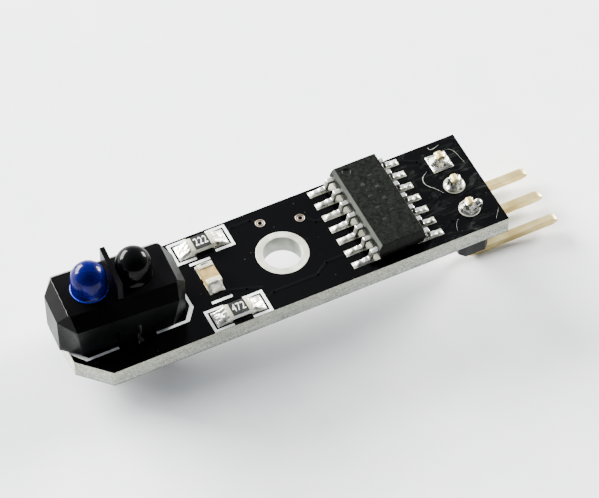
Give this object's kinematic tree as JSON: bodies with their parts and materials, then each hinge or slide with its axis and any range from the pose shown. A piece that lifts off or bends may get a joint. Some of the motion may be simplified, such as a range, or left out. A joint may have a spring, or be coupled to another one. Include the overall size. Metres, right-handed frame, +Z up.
{
  "type": "line follower sensor module",
  "caption": "Narrow circuit board with a domed infrared emitter and detector in a black housing, a comparator chip, a fixing hole and a right-angle pin header.",
  "frame": {"origin": "axis of the fixing hole, at the board's underside", "axes": "+X along the board from the sensor towards the header pins, +Y across the board, +Z up out of the component side"},
  "size_m": [0.0415, 0.0094, 0.0129],
  "materials": {
    "fibreglass": "matt woven glass laminate",
    "solder_mask": "gloss black solder mask",
    "legend_ink": "matt white legend ink",
    "tinned_copper": "tinned copper, satin",
    "solder": "bright solder",
    "housing_plastic": "satin black moulded plastic",
    "blue_epoxy": "clear blue cast epoxy",
    "black_epoxy": "gloss black infrared-pass epoxy",
    "tinned_steel": "tinned lead frame",
    "silicon": "polished semiconductor die",
    "bond_wire_metal": "drawn gold wire",
    "mould_compound": "matt charcoal mould compound",
    "ceramic": "white alumina",
    "resistor_glass": "black glass overcoat",
    "capacitor_ceramic": "tan fired ceramic",
    "header_plastic": "black moulded header plastic",
    "pin_plating": "pale gold flash plating"
  },
  "bodies": {
    "root": {"board_core": "fibreglass", "capacitor_body": "capacitor_ceramic", "capacitor_terminal_a": "solder", "capacitor_terminal_b": "solder", "chip_pads": "tinned_copper", "chip_solder": "solder", "comparator_body": "mould_compound", "comparator_die": "silicon", "comparator_lead_01": "tinned_steel", "comparator_lead_02": "tinned_steel", "comparator_lead_03": "tinned_steel", "comparator_lead_04": "tinned_steel", "comparator_lead_05": "tinned_steel", "comparator_lead_06": "tinned_steel", "comparator_lead_07": "tinned_steel", "comparator_lead_08": "tinned_steel", "comparator_lead_09": "tinned_steel", "comparator_lead_10": "tinned_steel", "comparator_lead_11": "tinned_steel", "comparator_lead_12": "tinned_steel", "comparator_lead_13": "tinned_steel", "comparator_lead_14": "tinned_steel", "comparator_paddle": "tinned_copper", "comparator_pads": "tinned_copper", "comparator_solder": "solder", "detector_bond_wire": "bond_wire_metal", "detector_collector_lead": "tinned_steel", "detector_die": "silicon", "detector_emitter_lead": "tinned_steel", "detector_lens": "black_epoxy", "emitter_anode_lead": "tinned_steel", "emitter_bond_wire": "bond_wire_metal", "emitter_cathode_lead": "tinned_steel", "emitter_die": "silicon", "emitter_lens": "blue_epoxy", "front_resistor_body": "ceramic", "front_resistor_overcoat": "resistor_glass", "front_resistor_terminal_a": "solder", "front_resistor_terminal_b": "solder", "header_housing": "header_plastic", "header_pads": "tinned_copper", "header_pin_1": "pin_plating", "header_pin_2": "pin_plating", "header_pin_3": "pin_plating", "header_solder": "solder", "hole_plating": "tinned_copper", "legend_top": "legend_ink", "rear_resistor_body": "ceramic", "rear_resistor_overcoat": "resistor_glass", "rear_resistor_terminal_a": "solder", "rear_resistor_terminal_b": "solder", "sensor_housing": "housing_plastic", "sensor_pads": "tinned_copper", "sensor_solder": "solder", "solder_mask_bottom": "solder_mask", "solder_mask_top": "solder_mask", "vias": "tinned_copper"}
  },
  "joints": []
}
